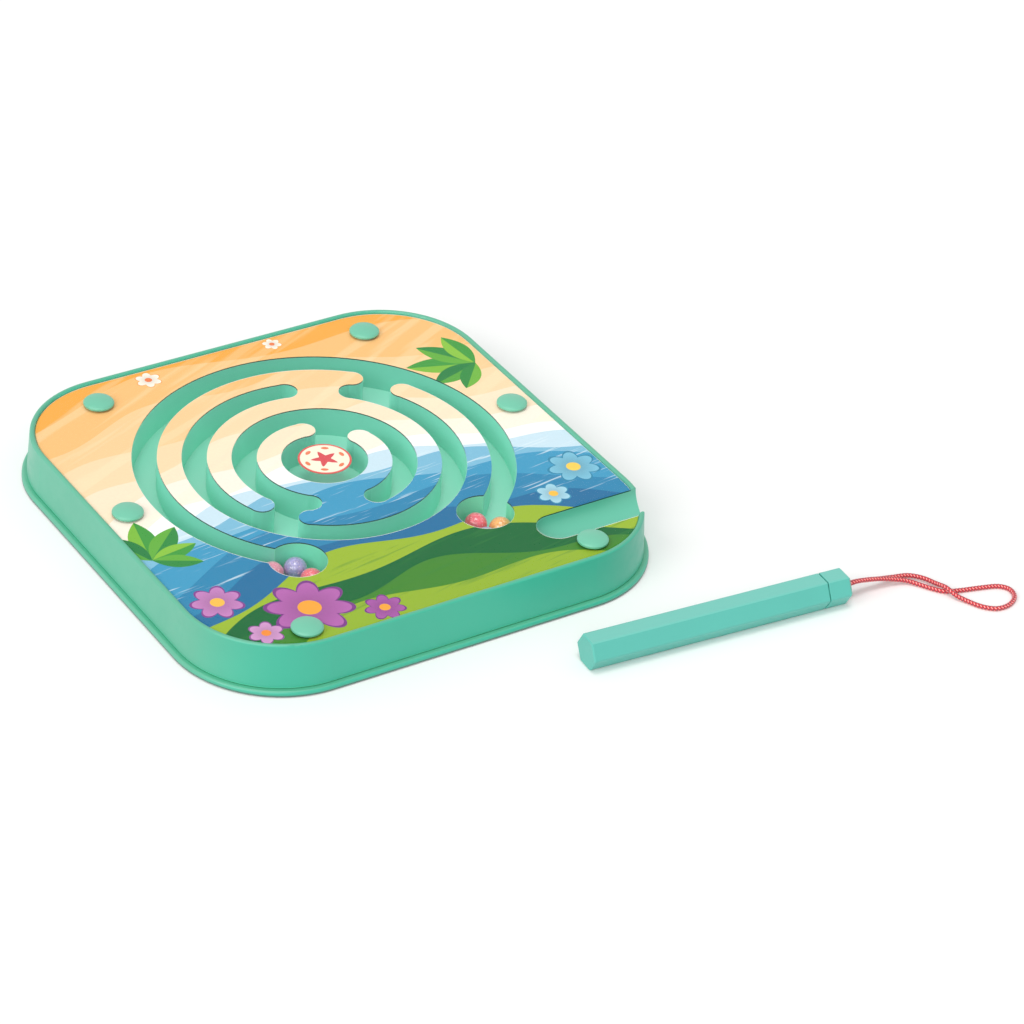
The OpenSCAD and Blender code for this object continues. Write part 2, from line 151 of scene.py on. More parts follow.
# Brush strokes: pale streaks along the blues, broad soft ones along the sky, darker grass along
# the greens. Turn in degrees, length and width in millimetres, the noise at which they begin and
# are full, their share of ink, the test, place and half width of their zone on the arcs, their ink
STROKES = [
    (6, 24, 1.3, 0.62, 0.72, 0.6, "COMPARE", 2, 21, "#E4F3F8"),
    (24, 70, 6, 0.5, 0.6, 0.2, "GREATER_THAN", 34, 0, "#FFF4CF"),
    (10, 34, 2.2, 0.56, 0.64, 0.35, "LESS_THAN", -36, 0, "#2F7F35"),
]
# Size of the strokes' noise upwards, which the flat print cuts through
STROKE_DEPTH = 9

# Flowers of the print: middle and radius in millimetres, petals, turn, petal, rim and heart inks
FLOWERS = [
    (-57, -79, 18.0, 8, 0.2, "#B566AE", "#7C3A86", "#F6A83C"),
    (-87, -60, 11.0, 7, 0.9, "#C583BE", "#84408E", "#F9C04F"),
    (-31, -92, 8.5, 7, 0.4, "#A95AA6", "#74357F", "#F6A83C"),
    (-80, -86, 7.5, 6, 1.3, "#D39ACB", "#8E4A96", "#F4903A"),
    (88, -42, 11.5, 7, 0.5, "#7CC0D8", "#2E86A8", "#F8D25A"),
    (70, -55, 7.5, 6, 1.0, "#A6D6E6", "#3C93B3", "#F8C24A"),
    (-36, 93, 6.0, 6, 0.7, "#FFF6E6", "#F2A65A", "#EE7F4B"),
    (24, 95, 4.5, 6, 0.2, "#FFF6E6", "#F2A65A", "#EE7F4B"),
]
# Shares of a flower's radius: the notches between petals, the petals inside their rim, the heart
PETAL_NOTCH, PETAL_INNER, FLOWER_HEART = 0.34, 0.91, 0.26
# The darker middle of the petals: its shade, and the shares of the radius over which it fades
BLUSH_SHADE, BLUSH_FADE = 0.78, (0.25, 0.8)

# Leaves of the print: stalk end, length and half width in millimetres, turn in degrees, two inks
LEAVES = [
    (-96, -24, 27, 5.6, 78, "#3E9A3C", "#7DBB3A"), (-96, -24, 25, 5.2, 42, "#2C8A3E", "#63AE3B"),
    (-96, -24, 23, 4.8, 112, "#1F7E3E", "#56A53B"), (-96, -24, 21, 4.4, 8, "#3E9A3C", "#8AC23E"),
    (-96, -24, 20, 4.2, -28, "#2C8A3E", "#63AE3B"),
    (94, 44, 30, 5.8, 162, "#3E9A3C", "#7DBB3A"), (94, 44, 27, 5.4, 128, "#2C8A3E", "#63AE3B"),
    (94, 44, 25, 5.0, 196, "#1F7E3E", "#56A53B"), (94, 44, 24, 5.0, 96, "#3E9A3C", "#8AC23E"),
    (94, 44, 21, 4.4, 228, "#2C8A3E", "#6FB43C"),
]
# Where a leaf's two inks meet, as a share of its half width
LEAF_RIB = 0.06

# The goal label: its gap to the cover and the rounding of its cut edge, in metres
LABEL_GAP, LABEL_ROUND = 0.00004, 0.00006
# Its picture: radii of the edge ring, the dots and the star's tips and the depth of the star's
# notches in millimetres; the number of points and dots, how fast a dot narrows across its ring,
# and the level at which it is cut off
CARD_RING, CARD_DOTS, STAR_TIP, STAR_NOTCH = 10.1, 7.9, 5.9, 3.3
STAR_POINTS, DOT_COUNT, DOT_NARROW, DOT_LEVEL = 5, 6, 0.9, 0.35


def tone(code):
    """Linear colour of an sRGB hex value."""
    parts = [int(code[i:i + 2], 16) / 255 for i in (1, 3, 5)]
    linear = [c / 12.92 if c <= 0.04045 else ((c + 0.055) / 1.055) ** 2.4 for c in parts]
    return (*linear, 1.0)


def shade(ink, factor):
    """A colour made darker or lighter."""
    return tuple(min(c * factor, 1.0) for c in ink[:3]) + (1.0,)


def colour(name, description, code):
    """A colour setting."""
    return FloatVectorProperty(
        name=name, description=description, default=tone(code), size=4, min=0, max=1,
        subtype="COLOR")


def length_of(name, description, metres):
    """A length setting."""
    return FloatProperty(
        name=name, description=description, default=metres, unit="LENGTH", subtype="DISTANCE")


class MazeSizes(bpy.types.PropertyGroup):
    """Sizes of the finishes."""
    grain: length_of("Moulded grain", "Spacing of the fine grain on moulded plastic", 0.0007)
    braid_pitch: length_of("Braid pitch", "Length of one crossing of the cord's braid", 0.0014)
    cord: length_of("Cord thickness", "Diameter of the braided cord", 0.0018)
    strands: IntProperty(
        name="Braid strands", description="Strands that wind each way round the cord",
        default=4, min=2, max=8)


class MazeColours(bpy.types.PropertyGroup):
    """Colours of the finishes."""
    shell: colour("Shell", "Board and foot", "#44B294")
    # Painted light: the tone of the shells' faces that face up
    shell_top_light: colour("Shell, flat faces", "Faces of the shells that lie flat", "#54AD8D")
    # Painted light in the channels and wells, and painted shade on channel walls facing the camera
    channel_wall_light: colour("Channel walls", "Walls of the channels", "#96EFD8")
    channel_front_shade: colour("Channel front", "Channel walls that face the camera", "#78CCB6")
    channel_floor_light: colour("Channel floors", "Floors of the channels and wells", "#93DDC6")
    well_wall_light: colour("Well walls", "Walls of the two ball wells", "#7EE9C1")
    # Painted light: an even, lighter tone in the pen rest's hollow
    rest: colour("Pen rest", "Half-round rest for the pen", "#62BDA2")
    # Painted shade under the foot's lip, and painted light in the groove above it
    lip_under_shade: colour("Lip underside", "Where the foot's lip rounds under", "#4A7468")
    lip_groove_light: colour("Lip groove", "Groove above the foot's lip", "#5CD6AE")
    rivet: colour("Rivets", "Rivet heads", "#6BBFA1")
    pen: colour("Pen", "Barrel and cap of the pen", "#54B7A9")
    # Painted highlight: the paler tone of the pen's faces that face up
    pen_top_light: colour("Pen, flat faces", "Faces of the pen that lie flat", "#6CC2B4")
    cord: colour("Cord", "Main strands of the cord", "#D42833")
    cord_light: colour("Light thread", "Pale thread in the cord", "#F9B9B2")
    cord_grey: colour("Grey thread", "Grey thread in the cord", "#6E4853")
    lilac: colour("Lilac ball", "Balls in lilac pearl", "#9A94C6")
    red: colour("Red ball", "Balls in coral pearl", "#F0606E")
    pink: colour("Pink ball", "Ball in pink pearl", "#EE8FA8")
    orange: colour("Orange ball", "Ball in orange pearl", "#F7A654")
    sky: colour("Back of the print", "Ink at the back edge of the print", "#F6AC45")
    card: colour("Goal card", "Ground of the round goal card", "#FFF4DC")


def put(tree, kind, feeds=None, **settings):
    """Adds a node with its settings; feeds are constants or links for its inputs."""
    node = tree.nodes.new("ShaderNode" + kind)
    for name, value in settings.items():
        setattr(node, name, value)
    for name, value in (feeds or {}).items():
        if isinstance(value, bpy.types.NodeSocket):
            tree.links.new(value, node.inputs[name])
        else:
            node.inputs[name].default_value = value
    return node


def calc(tree, operation, *values):
    """A number worked out from numbers."""
    return put(tree, "Math", dict(enumerate(values)), operation=operation).outputs[0]


def vector(tree, operation, *values):
    """A vector worked out from vectors."""
    return put(tree, "VectorMath", dict(enumerate(values)), operation=operation).outputs[0]


def measure(tree, operation, *values):
    """A number worked out from vectors."""
    return put(tree, "VectorMath", dict(enumerate(values)), operation=operation).outputs["Value"]


def parts_of(tree, source):
    """The x, y and z of a vector."""
    return put(tree, "SeparateXYZ", {0: source}).outputs


def ramp(tree, value, begin=0.0, end=1.0, low=0.0, high=1.0):
    """A value taken from one range to another and held at its ends."""
    return put(tree, "MapRange", {"Value": value, "From Min": begin, "From Max": end,
                                  "To Min": low, "To Max": high}).outputs[0]


def noise(tree, place, size, detail, distortion=0.0):
    """Noise with features of a size in the units of the place, millimetres as a rule."""
    return put(tree, "TexNoise", {"Vector": place, "Scale": 1 / size, "Detail": detail,
                                  "Distortion": distortion}).outputs[0]


def placed(tree, mm, at=(0, 0, 0), size=(1, 1, 1), turn=0.0):
    """Coordinates of a motif with a place, size and turn in degrees of its own."""
    return put(tree, "Mapping", {"Vector": mm, "Location": at, "Scale": size,
                                 "Rotation": (0, 0, math.radians(turn))},
               vector_type="TEXTURE").outputs[0]


def angle_of(tree, local):
    """The angle round the middle of a motif."""
    x, y, _ = parts_of(tree, local)
    return calc(tree, "ARCTAN2", y, x)


def out_from(tree, mm, middle):
    """The distance from an upright line, in millimetres."""
    off = vector(tree, "SUBTRACT", mm, (*middle, 0))
    return measure(tree, "LENGTH", vector(tree, "MULTIPLY", off, (1, 1, 0)))


def ink_over(tree, under, ink, mask):
    """Prints an ink over a colour where the mask is 1."""
    return put(tree, "Mix", {0: mask, 6: under, 7: ink}, data_type="RGBA").outputs[2]


def mottled(tree, ink, field, low, high):
    """A colour that varies in brightness with a noise."""
    level = ramp(tree, field, low=low, high=high)
    return put(tree, "VectorMath", {0: ink, "Scale": level}, operation="SCALE").outputs[0]


def start(name, **sockets):
    """A new material, its tree and shader, and object coordinates in millimetres."""
    mat = bpy.data.materials.new(name)
    mat.use_nodes = True
    tree = mat.node_tree
    shader = tree.nodes["Principled BSDF"]
    for socket, value in sockets.items():
        shader.inputs[socket.replace("_", " ")].default_value = value
    place = put(tree, "TexCoord").outputs["Object"]
    mm = put(tree, "VectorMath", {0: place, "Scale": MM}, operation="SCALE").outputs[0]
    return mat, tree, shader, mm


def surface(tree, shader, ink, rough, relief=None):
    """Links colour, roughness and relief (height, strength and depth in metres) to a shader."""
    tree.links.new(ink, shader.inputs["Base Color"])
    tree.links.new(rough, shader.inputs["Roughness"])
    if relief:
        height, strength, depth = relief
        bump = put(tree, "Bump", {"Height": height, "Strength": strength, "Distance": depth})
        tree.links.new(bump.outputs[0], shader.inputs["Normal"])


def shell_zones(tree, mm, base, normal, flat):
    """Painted light and shade on the shells, by where a face lies and which way it faces."""
    inks = bpy.context.scene.maze_colours
    # Painted sheen makes the left side a greyer green, and painted shade makes the front a deeper
    # one
    side_light_gain = WHITE
    facing = parts_of(tree, normal)
    for axis, red in ((0, LEFT_SHEEN_RED), (1, FRONT_SHADE_RED)):
        side = ramp(tree, facing[axis], *SIDE_LEAN)
        side_light_gain = ink_over(tree, side_light_gain, (red, 1.0, 1.0, 1.0), side)
    base = vector(tree, "MULTIPLY", base, side_light_gain)
    # Channels and wells get paler painted light, and walls facing the camera painted shade
    front = ramp(tree, measure(tree, "DOT_PRODUCT", normal, FRONT), *FRONT_LEAN)
    walls = ink_over(tree, inks.channel_wall_light, inks.channel_front_shade, front)
    for middle in WELLS:
        near = calc(tree, "LESS_THAN", out_from(tree, mm, middle), WELL_REACH)
        walls = ink_over(tree, walls, inks.well_wall_light, near)
    inside = calc(tree, "LESS_THAN", out_from(tree, mm, MAZE_MIDDLE), MAZE_REACH)
    base = ink_over(tree, base, ink_over(tree, walls, inks.channel_floor_light, flat), inside)
    # The pen rest has one even, lighter tone: painted light in its hollow
    x, y, z, half = REST
    place = parts_of(tree, mm)
    along = calc(tree, "GREATER_THAN", place[0], x)
    aside = calc(tree, "COMPARE", place[1], y, half)
    above = calc(tree, "GREATER_THAN", place[2], z)
    inside = calc(tree, "MULTIPLY", calc(tree, "MULTIPLY", along, aside), above)
    base = ink_over(tree, base, inks.rest, inside)
    # Painted shade where the foot's lip rounds under, and painted light in the groove above it
    under = ramp(tree, place[2], *LIP_UNDER, 1.0, 0.0)
    base = ink_over(tree, base, inks.lip_under_shade, under)
    groove = calc(tree, "COMPARE", place[2], LIP_GROOVE, LIP_GROOVE_HALF)
    return ink_over(tree, base, inks.lip_groove_light, groove)


def moulded_abs(name, tint, gloss, top_light_tone=None, zoned=False):
    """Injection-moulded ABS: even colour with faint flow marks, a fine tool grain, satin gloss,
    and painted light and shade where asked.
    """
    mat, tree, shader, mm = start(name, IOR=1.6)
    flow = noise(tree, mm, 38, 3.0, 0.6)
    base = ink_over(tree, shade(tint, 0.94), shade(tint, 1.05), flow)
    if top_light_tone is not None:
        # Faces that face up take a painted tone that stands in for the light on them
        normal = put(tree, "NewGeometry").outputs["Normal"]
        flat = ramp(tree, parts_of(tree, normal)[2], *FLAT_LEAN)
        base = ink_over(tree, base, top_light_tone, flat)
        if zoned:
            base = shell_zones(tree, mm, base, normal, flat)
    polish = noise(tree, mm, 5, 4.0)
    rough = ramp(tree, polish, 0.3, 0.7, gloss - 0.05, gloss + 0.06)
    grain = noise(tree, mm, MM * bpy.context.scene.maze_sizes.grain, 2.0)
    surface(tree, shader, base, rough, (grain, 0.05, 0.00006))
    return mat


def arcs_of_ink(tree, mm):
    """Wavy arcs of ink across the print, with brush strokes along them."""
    across = parts_of(tree, mm)[0]
    reach = measure(tree, "LENGTH", vector(tree, "SUBTRACT", mm, ARC_MIDDLE))
    ink = bpy.context.scene.maze_colours.sky
    for begin, height, length, phase, code in BANDS:
        swing = calc(tree, "SINE", calc(tree, "MULTIPLY_ADD", across, 1 / length, phase))
        wave = calc(tree, "MULTIPLY_ADD", swing, height, reach)
        ink = ink_over(tree, ink, tone(code), calc(tree, "LESS_THAN", wave, ARC_START + begin))
    for turn, length, width, begin, full, share, test, edge, half, code in STROKES:
        # Noise drawn out along the stroke
        lie = placed(tree, mm, size=(length, width, STROKE_DEPTH), turn=turn)
        mask = ramp(tree, noise(tree, lie, 1.0, 2.0), begin, full, 0.0, share)
        zone = calc(tree, test, reach, ARC_START + edge, half)
        ink = ink_over(tree, ink, tone(code), calc(tree, "MULTIPLY", mask, zone))
    return ink


def leaf_ink(tree, mm, ink):
    """Sprays of two-toned leaves."""
    for x, y, length, width, turn, dark, light in LEAVES:
        along, aside, _ = parts_of(tree, placed(tree, mm, (x, y, 0), (length, width, 1), turn))
        bow = calc(tree, "MULTIPLY", along, calc(tree, "SUBTRACT", 1.0, along))
        bow = calc(tree, "MULTIPLY", bow, 4.0)
        mask = calc(tree, "LESS_THAN", calc(tree, "ABSOLUTE", aside), bow)
        half = calc(tree, "LESS_THAN", aside, LEAF_RIB)
        ink = ink_over(tree, ink, ink_over(tree, tone(light), tone(dark), half), mask)
    return ink


def flower_ink(tree, mm, ink):
    """Round flowers with a darker rim and a heart."""
    for x, y, radius, petals, turn, petal, rim, heart in FLOWERS:
        local = placed(tree, mm, (x, y, PRINT_Z), (radius, radius, radius))
        reach = measure(tree, "LENGTH", local)
        angle = calc(tree, "MULTIPLY_ADD", angle_of(tree, local), petals / 2, turn)
        lobe = calc(tree, "ABSOLUTE", calc(tree, "SINE", angle))
        edge = calc(tree, "MULTIPLY_ADD", lobe, PETAL_NOTCH, 1 - PETAL_NOTCH)
        inner = calc(tree, "MULTIPLY", edge, PETAL_INNER)
        glow = ramp(tree, reach, *BLUSH_FADE)
        blush = ink_over(tree, shade(tone(petal), BLUSH_SHADE), tone(petal), glow)
        for layer, limit in ((tone(rim), edge), (blush, inner), (tone(heart), FLOWER_HEART)):
            ink = ink_over(tree, ink, layer, calc(tree, "LESS_THAN", reach, limit))
    return ink


def printed_film():
    """Offset-printed polypropylene film: flat bright inks, slight mottle, gloss, painted shadow
    and highlight lines at the cuts.
    """
    mat, tree, shader, mm = start("printed_polypropylene_film", IOR=1.49, Specular_IOR_Level=0.15)
    ink = flower_ink(tree, mm, leaf_ink(tree, mm, arcs_of_ink(tree, mm)))
    mottle = noise(tree, mm, 1.4, 3.0)
    ink = mottled(tree, ink, mottle, 0.955, 1.045)
    # Painted highlight: a white line on the cut edges that face away from the front; painted
    # shadow:
    # a dark line on the others
    turned = put(tree, "Bevel", {"Radius": CUT_EDGE}, samples=8).outputs[0]
    lean = measure(tree, "DOT_PRODUCT", turned, FRONT)
    ink = ink_over(tree, ink, tone("#F6F5EE"), calc(tree, "LESS_THAN", lean, -CUT_LEAN))
    ink = ink_over(tree, ink, tone("#1E4A3E"), calc(tree, "GREATER_THAN", lean, CUT_LEAN))
    surface(tree, shader, ink, ramp(tree, mottle, low=0.31, high=0.44))
    return mat


def clear_styrene():
    """Clear polystyrene sheet: seen through, with a thin even gloss."""
    mat, tree, shader, mm = start("clear_polystyrene_sheet")
    tree.nodes.remove(shader)
    rough = ramp(tree, noise(tree, mm, 9, 3.0), low=0.04, high=0.11)
    gloss = put(tree, "BsdfGlossy", {"Color": WHITE, "Roughness": rough})
    clear = put(tree, "BsdfTransparent", {"Color": WHITE})
    # Only the outer side of the sheet shines; light from within passes as it came
    front = calc(tree, "SUBTRACT", 1.0, put(tree, "NewGeometry").outputs["Backfacing"])
    share = calc(tree, "MULTIPLY", put(tree, "Fresnel", {"IOR": 1.15}).outputs[0], front)
    both = put(tree, "MixShader", {0: share, 1: clear.outputs[0], 2: gloss.outputs[0]})
    tree.links.new(both.outputs[0], tree.nodes["Material Output"].inputs["Surface"])
    return mat


def pearl_lacquer(name, tint):
    """Steel ball in pearl lacquer: swirls and pale flakes of colour under a clear, hard gloss."""
    mat, tree, shader, mm = start(
        name, IOR=1.5, Coat_Weight=1.0, Coat_Roughness=0.05, Sheen_Weight=0.4,
        Sheen_Roughness=0.4, Sheen_Tint=tone("#FFD3DE"))
    swirl = ramp(tree, noise(tree, mm, 2.6, 3.0, 1.8), 0.35, 0.65)
    base = ink_over(tree, shade(tint, 0.84), shade(tint, 1.2), swirl)
    # Pearl flakes are finer than the render shows, so they are drawn 0.6 mm across
    fleck = noise(tree, mm, 0.6, 1.0)
    base = ink_over(tree, base, tone("#FFEFEA"), ramp(tree, fleck, 0.6, 0.7, 0.0, 0.5))
    surface(tree, shader, base, ramp(tree, fleck, low=0.3, high=0.44))
    return mat


def zinc_plate():
    """Zinc-plated steel: bright grey with turned rings and small stains."""
    mat, tree, shader, mm = start("zinc_plated_steel", Metallic=1.0)
    stain = noise(tree, mm, 1.5, 4.0)
    base = ink_over(tree, tone("#A7ABAE"), tone("#D4D8DA"), stain)
    ring = put(tree, "TexWave", {"Vector": mm, "Scale": 1 / 0.8, "Distortion": 0.5},
               bands_direction="Z").outputs[1]
    surface(tree, shader, base, ramp(tree, stain, low=0.3, high=0.44), (ring, 0.15, 0.00005))
    return mat


def sintered_ferrite():
    """Sintered ferrite: dark grey, dull, with pits."""
    mat, tree, shader, mm = start("sintered_ferrite", IOR=2.0)
    pit = noise(tree, mm, 0.6, 5.0)
    base = ink_over(tree, tone("#33363A"), tone("#5A5E62"), pit)
    surface(tree, shader, base, ramp(tree, pit, low=0.5, high=0.75), (pit, 0.3, 0.0001))
    return mat


def goal_card():
    """Printed card under varnish: a star in a ring of dots, with paper fibre in the gloss."""
    lo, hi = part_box("goal_disc")
    mid = (lo + hi) / 2 * MM
    mat, tree, shader, mm = start("varnished_card", IOR=1.5)
    local = placed(tree, mm, (mid.x, mid.y, hi.z * MM))
    reach = measure(tree, "LENGTH", local)
    angle = angle_of(tree, local)
    ink = bpy.context.scene.maze_colours.card
    # Edge ring, then a ring of round dots, then a five-pointed star
    ink = ink_over(tree, ink, tone("#E2574F"), calc(tree, "GREATER_THAN", reach, CARD_RING))
    dots = calc(tree, "COSINE", calc(tree, "MULTIPLY", angle, DOT_COUNT))
    off = calc(tree, "SUBTRACT", reach, CARD_DOTS)
    spot = calc(tree, "MULTIPLY_ADD", calc(tree, "MULTIPLY", off, off), -DOT_NARROW, dots)
    ink = ink_over(tree, ink, tone("#EE7B4E"), calc(tree, "GREATER_THAN", spot, DOT_LEVEL))
    ray = calc(tree, "SINE", calc(tree, "MULTIPLY_ADD", angle, STAR_POINTS / 2, -math.pi / 4))
    tip = calc(tree, "MULTIPLY_ADD", calc(tree, "ABSOLUTE", ray), -STAR_NOTCH, STAR_TIP)
    ink = ink_over(tree, ink, tone("#D9434A"), calc(tree, "LESS_THAN", reach, tip))
    fibre = noise(tree, mm, 0.7, 4.0)
    ink = mottled(tree, ink, fibre, 0.94, 1.05)
    surface(tree, shader, ink, ramp(tree, fibre, low=0.31, high=0.5))
    return mat


def braided_polyester():
    """Braided polyester cord: red strands, a pale and a grey thread in them, dull and fuzzy."""
    scene = bpy.context.scene
    sizes, inks = scene.maze_sizes, scene.maze_colours
    mat, tree, shader, mm = start(
        "braided_polyester", IOR=1.46, Sheen_Weight=0.35, Sheen_Roughness=0.5)
    along, round_it, _ = parts_of(tree, put(tree, "UVMap").outputs[0])
    run = calc(tree, "MULTIPLY", along, 1 / (MM * sizes.braid_pitch))
    ways = [calc(tree, "MULTIPLY_ADD", round_it, float(sign * sizes.strands), run)
            for sign in (1, -1)]
    both = calc(tree, "ADD", *(calc(tree, "FLOOR", way) for way in ways))
    over = calc(tree, "FLOORED_MODULO", both, 2.0)
    under = calc(tree, "SUBTRACT", 1.0, over)
    # A pale thread runs down the middle of the strands that wind one way, a grey one in the others
    yarn = inks.cord
    for way, ink, half, shown in ((ways[0], inks.cord_light, 0.16, over),
                                  (ways[1], inks.cord_grey, 0.2, under)):
        thread = calc(tree, "COMPARE", calc(tree, "FRACT", way), 0.5, half)
        yarn = ink_over(tree, yarn, ink, calc(tree, "MULTIPLY", thread, shown))
    # Filaments are finer than the render shows, so they are drawn 0.12 mm apart
    hair = noise(tree, mm, 0.12, 2.0)
    yarn = mottled(tree, yarn, hair, 0.8, 1.15)
    surface(tree, shader, yarn, ramp(tree, hair, low=0.6, high=0.85), (hair, 0.3, 0.0001))
    return mat


def matte_paper():
    """Matte paper sweep: near white and dull, with a faint cloudiness."""
    mat, tree, shader, mm = start("matte_paper_sweep", IOR=1.2, Roughness=0.9)
    base = ink_over(tree, tone("#F8F8F7"), tone("#FBFBFA"), noise(tree, mm, 60, 2.0))
    tree.links.new(base, shader.inputs["Base Color"])
    return mat


def white_studio():
    """A white world that dull surfaces get a share of, and the eye and gloss see in full."""
    world = bpy.data.worlds.new("studio")
    world.use_nodes = True
    tree = world.node_tree
    tree.nodes.clear()
    ray = put(tree, "LightPath").outputs
    seen = calc(tree, "MAXIMUM", ray["Is Camera Ray"], ray["Is Transmission Ray"])
    seen = calc(tree, "MAXIMUM", seen, ray["Is Glossy Ray"])
    level = ramp(tree, seen, low=STUDIO_SHARE)
    light = put(tree, "Background", {"Color": WHITE, "Strength": level})
    out = put(tree, "OutputWorld", {"Surface": light.outputs[0]})
    out.is_active_output = True
    return world


def dress(names, mat):
    """Gives CAD nodes a material."""
    for name in names:
        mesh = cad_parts[name].data
        mesh.materials.clear()
        mesh.materials.append(mat)


def new_object(name, data):
    """An object in the scene."""
    obj = bpy.data.objects.new(name, data)
    bpy.context.scene.collection.objects.link(obj)
    return obj


def new_piece(name, bm):
    """An object from a finished mesh."""
    mesh = bpy.data.meshes.new(name)
    bm.to_mesh(mesh)
    bm.free()
    return new_object(name, mesh)


def aim(obj, way, roll=0.0):
    """Turns a camera or lamp to face one way."""
    obj.rotation_mode = "QUATERNION"
    obj.rotation_quaternion = Vector(way).to_track_quat("-Z", "Y") @ Quaternion((0, 0, 1), roll)


def by_pen(along, aside=0.0, up=0.0):
    """A point by the pen: along it from its tip, to its side and up."""
    turned = Vector((along, aside, up))
    turned.rotate(Quaternion((0, 0, 1), PEN_TURN))
    return PEN_TIP + turned


def smooth_route(points, steps, low):
    """Points of one smooth curve through the given ones, kept above a height."""
    line = []
    last = len(points) - 1
    for i in range(last):
        a, b, c, d = (Vector(points[min(max(k, 0), last)]) for k in range(i - 1, i + 3))
        for s in range(steps):
            t = s / steps
            p = (b * 2 + (c - a) * t + (a * 2 - b * 5 + c * 4 - d) * t ** 2
                 + (b * 3 - a - c * 3 + d) * t ** 3) / 2
            line.append(Vector((p.x, p.y, max(p.z, low))))
    line.append(Vector(points[-1]))
    return line


def strand_height(run, turn, strands):
    """Height of the braid at a place along and round it, from 0 in a crossing's gap to 1."""
    a, b = run + strands * turn, run - strands * turn
    over = (math.floor(a) + math.floor(b)) % 2 == 0
    across, along = (b % 1, a % 1) if over else (a % 1, b % 1)
    crest = BRAID_UNDER + (1 - BRAID_UNDER) * math.sin(math.pi * along)
    return math.sin(math.pi * across) * crest


def braided_tube(name, line):
    """A braided cord along a line: a closed mesh with its length in millimetres in its UV map."""
    sizes = bpy.context.scene.maze_sizes
    marks = [0.0]
    for p, q in zip(line, line[1:]):
        marks.append(marks[-1] + (q - p).length)
    length = marks[-1]
    bm = bmesh.new()
    uv = bm.loops.layers.uv.new("UVMap")
    bmesh.ops.create_grid(
        bm, x_segments=round(length / BRAID_STEP), y_segments=BRAID_SIDES, size=1.0)
    for face in bm.faces:
        for loop in face.loops:
            loop[uv].uv = ((loop.vert.co.x + 1) / 2 * length * MM, (loop.vert.co.y + 1) / 2)
    k = 0
    for v in sorted(bm.verts, key=lambda v: v.co.x):
        far, turn = (v.co.x + 1) / 2 * length, (v.co.y + 1) / 2
        while k < len(marks) - 2 and marks[k + 1] < far:
            k += 1
        step = line[k + 1] - line[k]
        ahead = (line[min(k + 2, len(line) - 1)] - line[max(k - 1, 0)]).normalized()
        side = ahead.cross(Vector((0, 0, 1))).normalized()
        rise = side.cross(ahead)
        at = line[k] + step * ((far - marks[k]) / max(step.length, 1e-9))
        # Strands stand a little proud of the cord, and lie flat where it rests on the table
        height = strand_height(far / sizes.braid_pitch, turn, sizes.strands)
        reach = sizes.cord / 2 * (BRAID_LOW + BRAID_RISE * height)
        angle = 2 * math.pi * turn
        v.co = at + (side * math.cos(angle) + rise * math.sin(angle)) * reach
        v.co.z = max(v.co.z, 0.0)
    bmesh.ops.remove_doubles(bm, verts=bm.verts, dist=1e-7)
    bmesh.ops.holes_fill(bm, edges=[e for e in bm.edges if e.is_boundary], sides=0)
    bmesh.ops.recalc_face_normals(bm, faces=bm.faces)
    for face in bm.faces:
        face.smooth = True
    return new_piece(name, bm), length


class MAZE_OT_camera(bpy.types.Operator):
    """Sets the camera at the board's front left, looking down on it"""
    bl_idname = "maze.camera"
    bl_label = "Camera"

    def execute(self, context):
        data = bpy.data.cameras.new("camera")
        data.lens = CAMERA_LENS
        data.sensor_width = 36.0
        data.clip_end = 20.0
        cam = new_object("camera", data)
        cam.location = CAMERA_AT
        aim(cam, Vector(CAMERA_TARGET) - cam.location, CAMERA_ROLL)
        context.scene.camera = cam
        return {"FINISHED"}


class MAZE_OT_cord(bpy.types.Operator):
    """Braids the pen's cord and the knot that holds it in the cap"""
    bl_idname = "maze.cord"
    bl_label = "Cord and knot"

    def execute(self, context):
        sizes = context.scene.maze_sizes
        aside, up = STRAND
        ends = [by_pen(CORD_END, aside, up), by_pen(CORD_OUT, aside, up),
                by_pen(CORD_OUT, -aside, -up), by_pen(CORD_END, -aside, -up)]
        line = smooth_route(ends[:2] + CORD_LOOP + ends[2:], CORD_STEPS, sizes.cord / 2)
        yarn = braided_polyester()
        cord, length = braided_tube("pen_cord", line)
        # The knot is an overhand one, drawn up tight
        loops = [by_pen(KNOT_AT - KNOT_HALF * math.sin(3 * t),
                        KNOT_THIRD * (math.sin(t) + 2 * math.sin(2 * t)),
                        KNOT_THIRD * (math.cos(t) - 2 * math.cos(2 * t))) for t in KNOT_TURNS]
        knot, _ = braided_tube("pen_cord_knot", smooth_route(loops, KNOT_STEPS, 0.0))
        for obj, node in ((cord, "cord"), (knot, "cord_knot")):
            obj.data.materials.append(yarn)
            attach(obj, "pen")
            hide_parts(node)
        return {"FINISHED"}


class MAZE_OT_shells(bpy.types.Operator):
    """Finishes the upper shell, the base and the rivets as moulded plastic"""
    bl_idname = "maze.shells"
    bl_label = "Shells and rivets"

    def execute(self, context):
        inks = context.scene.maze_colours
        dress(["upper_shell", "base_shell"],
              moulded_abs("moulded_abs_teal", inks.shell, 0.36, inks.shell_top_light, zoned=True))
        dress(RIVETS, moulded_abs("moulded_abs_rivet", inks.rivet, 0.35))
        return {"FINISHED"}


class MAZE_OT_print_sheet(bpy.types.Operator):
    """Prints the sheet under the cover"""
    bl_idname = "maze.print_sheet"
    bl_label = "Printed sheet"

    def execute(self, context):
        dress(["print_sheet"], printed_film())
        return {"FINISHED"}


class MAZE_OT_cover(bpy.types.Operator):
    """Clears the cover over the maze"""
    bl_idname = "maze.cover"
    bl_label = "Clear cover"

    def execute(self, context):
        dress(["clear_cover"], clear_styrene())
        return {"FINISHED"}


